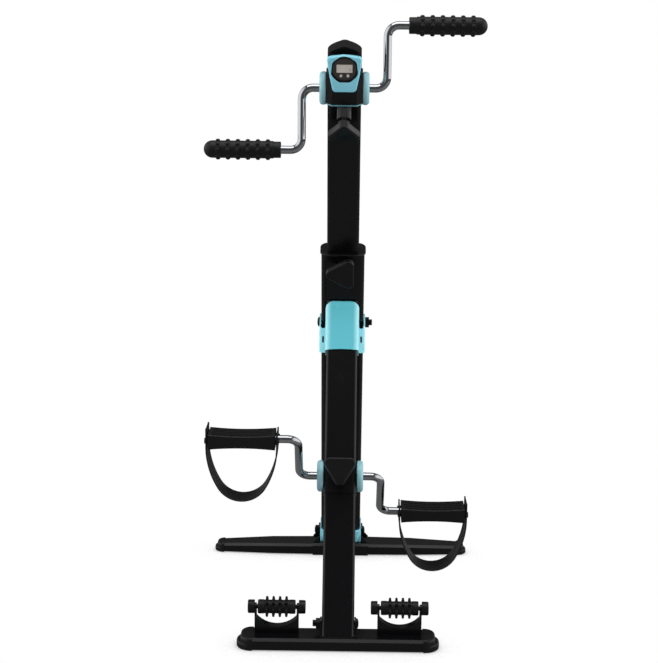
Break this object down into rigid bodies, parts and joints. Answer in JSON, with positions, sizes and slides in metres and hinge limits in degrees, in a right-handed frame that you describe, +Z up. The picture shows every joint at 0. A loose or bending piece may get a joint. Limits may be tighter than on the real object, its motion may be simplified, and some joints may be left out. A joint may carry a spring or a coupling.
{
  "type": "arm and leg pedal exerciser",
  "caption": "Folding A-frame exerciser with a hand crank on a telescoping mast, a pedal crank with foot straps on the front leg, and spiked massage rollers on the front foot.",
  "frame": {"origin": "on the floor, midway between the two feet and on the mast's centre plane (bounding box bottom centre)", "axes": "+X to the right of the picture, +Y away from the user, +Z up"},
  "size_m": [0.456, 0.4934, 0.9591],
  "materials": {
    "black_paint": "gloss powder coat",
    "blue_paint": "satin powder coat",
    "blue_plastic": "moulded satin",
    "black_plastic": "moulded satin",
    "dial_plastic": "semi-gloss",
    "pale_plastic": "moulded matte",
    "lcd": "display film",
    "board": "solder mask",
    "black_rubber": "moulded rubber",
    "chrome_steel": "polished chrome",
    "dark_steel": "black oxide"
  },
  "bodies": {
    "rear_frame": {"rear_foot": "black_paint", "rear_foot_caps": "black_plastic", "rear_foot_bracket": "black_paint", "rear_shoe": "blue_plastic", "rear_foot_bolt": "dark_steel", "main_tube": "black_paint", "sleeve_collar": "black_plastic", "hinge_bush": "dark_steel"},
    "front_frame": {"hinge_bracket": "blue_paint", "hinge_bolt": "dark_steel", "front_leg": "black_paint", "front_foot": "black_paint", "front_foot_caps": "black_plastic", "front_foot_bracket": "black_paint", "front_foot_bolt": "dark_steel", "left_roller_cradle": "black_paint", "right_roller_cradle": "black_paint", "leg_hub": "black_plastic", "left_leg_disc": "blue_plastic", "right_leg_disc": "blue_plastic", "leg_bushes": "black_plastic", "leg_brake_pad": "black_plastic"},
    "mast": {"mast": "black_paint", "mast_cap": "black_plastic", "mast_guide": "black_plastic", "head_housing": "black_plastic", "head_rim": "pale_plastic", "left_head_disc": "blue_plastic", "right_head_disc": "blue_plastic", "head_bushes": "black_plastic", "hand_brake_pad": "black_plastic", "console_bezel": "blue_plastic", "dial_ring": "black_plastic", "dial_face": "dial_plastic", "lcd_panel": "lcd", "circuit_board": "board"},
    "hand_crank": {"hand_drum": "dark_steel", "left_hand_rod": "chrome_steel", "right_hand_rod": "chrome_steel"},
    "leg_crank": {"leg_drum": "dark_steel", "left_leg_rod": "chrome_steel", "right_leg_rod": "chrome_steel"},
    "left_grip": {"left_grip": "black_rubber"},
    "right_grip": {"right_grip": "black_rubber"},
    "left_pedal": {"left_pedal": "black_plastic", "left_strap": "black_rubber"},
    "right_pedal": {"right_pedal": "black_plastic", "right_strap": "black_rubber"},
    "left_roller": {"left_roller": "black_rubber", "left_roller_axle": "black_plastic"},
    "right_roller": {"right_roller": "black_rubber", "right_roller_axle": "black_plastic"},
    "hand_knob": {"hand_knob": "black_plastic", "hand_knob_stud": "chrome_steel"},
    "leg_knob": {"leg_knob": "black_plastic", "leg_knob_stud": "chrome_steel"},
    "height_knob": {"height_knob": "black_plastic", "height_knob_stud": "chrome_steel"},
    "left_button": {"left_button": "pale_plastic"},
    "right_button": {"right_button": "pale_plastic"}
  },
  "joints": [
    {"name": "frame_fold", "type": "hinge", "parent": "rear_frame", "child": "front_frame", "pos_m": [0, 0.06405, 0.45505], "axis": [1, 0, 0], "range_deg": [0, 45]},
    {"name": "height_slide", "type": "slide", "parent": "rear_frame", "child": "mast", "axis": [0, -0.3437, 0.9391], "range_m": [0, 0.075]},
    {"name": "hand_crank_turn", "type": "hinge", "parent": "mast", "child": "hand_crank", "pos_m": [0, -0.07973, 0.84797], "axis": [1, 0, 0], "continuous": true},
    {"name": "leg_crank_turn", "type": "hinge", "parent": "front_frame", "child": "leg_crank", "pos_m": [0, -0.10327, 0.23792], "axis": [1, 0, 0], "continuous": true},
    {"name": "left_grip_spin", "type": "hinge", "parent": "hand_crank", "child": "left_grip", "pos_m": [-0.1565, -0.07973, 0.75297], "axis": [1, 0, 0], "continuous": true},
    {"name": "right_grip_spin", "type": "hinge", "parent": "hand_crank", "child": "right_grip", "pos_m": [0.1565, -0.07973, 0.94297], "axis": [1, 0, 0], "continuous": true},
    {"name": "left_pedal_swing", "type": "hinge", "parent": "leg_crank", "child": "left_pedal", "pos_m": [-0.1515, -0.16044, 0.31379], "axis": [1, 0, 0], "continuous": true},
    {"name": "right_pedal_swing", "type": "hinge", "parent": "leg_crank", "child": "right_pedal", "pos_m": [0.1515, -0.0461, 0.16205], "axis": [1, 0, 0], "continuous": true},
    {"name": "left_roller_spin", "type": "hinge", "parent": "front_frame", "child": "left_roller", "pos_m": [-0.095, -0.21343, 0.0603], "axis": [1, 0, 0], "continuous": true},
    {"name": "right_roller_spin", "type": "hinge", "parent": "front_frame", "child": "right_roller", "pos_m": [0.095, -0.21343, 0.0603], "axis": [1, 0, 0], "continuous": true},
    {"name": "height_knob_turn", "type": "hinge", "parent": "rear_frame", "child": "height_knob", "pos_m": [0, 0.02251, 0.56859], "axis": [0, -0.9391, -0.3437], "range_deg": [-360, 0]},
    {"name": "hand_knob_turn", "type": "hinge", "parent": "mast", "child": "hand_knob", "pos_m": [0, -0.07973, 0.84797], "axis": [0, -0.5, -0.866], "range_deg": [-360, 360]},
    {"name": "leg_knob_turn", "type": "hinge", "parent": "front_frame", "child": "leg_knob", "pos_m": [0, -0.10327, 0.23792], "axis": [0, -0.8747, 0.4847], "range_deg": [-360, 360]},
    {"name": "left_button_press", "type": "slide", "parent": "mast", "child": "left_button", "axis": [0, 0.9391, 0.3437], "range_m": [0, 0.001], "stiffness_N_per_m": 400},
    {"name": "right_button_press", "type": "slide", "parent": "mast", "child": "right_button", "axis": [0, 0.9391, 0.3437], "range_m": [0, 0.001], "stiffness_N_per_m": 400}
  ]
}
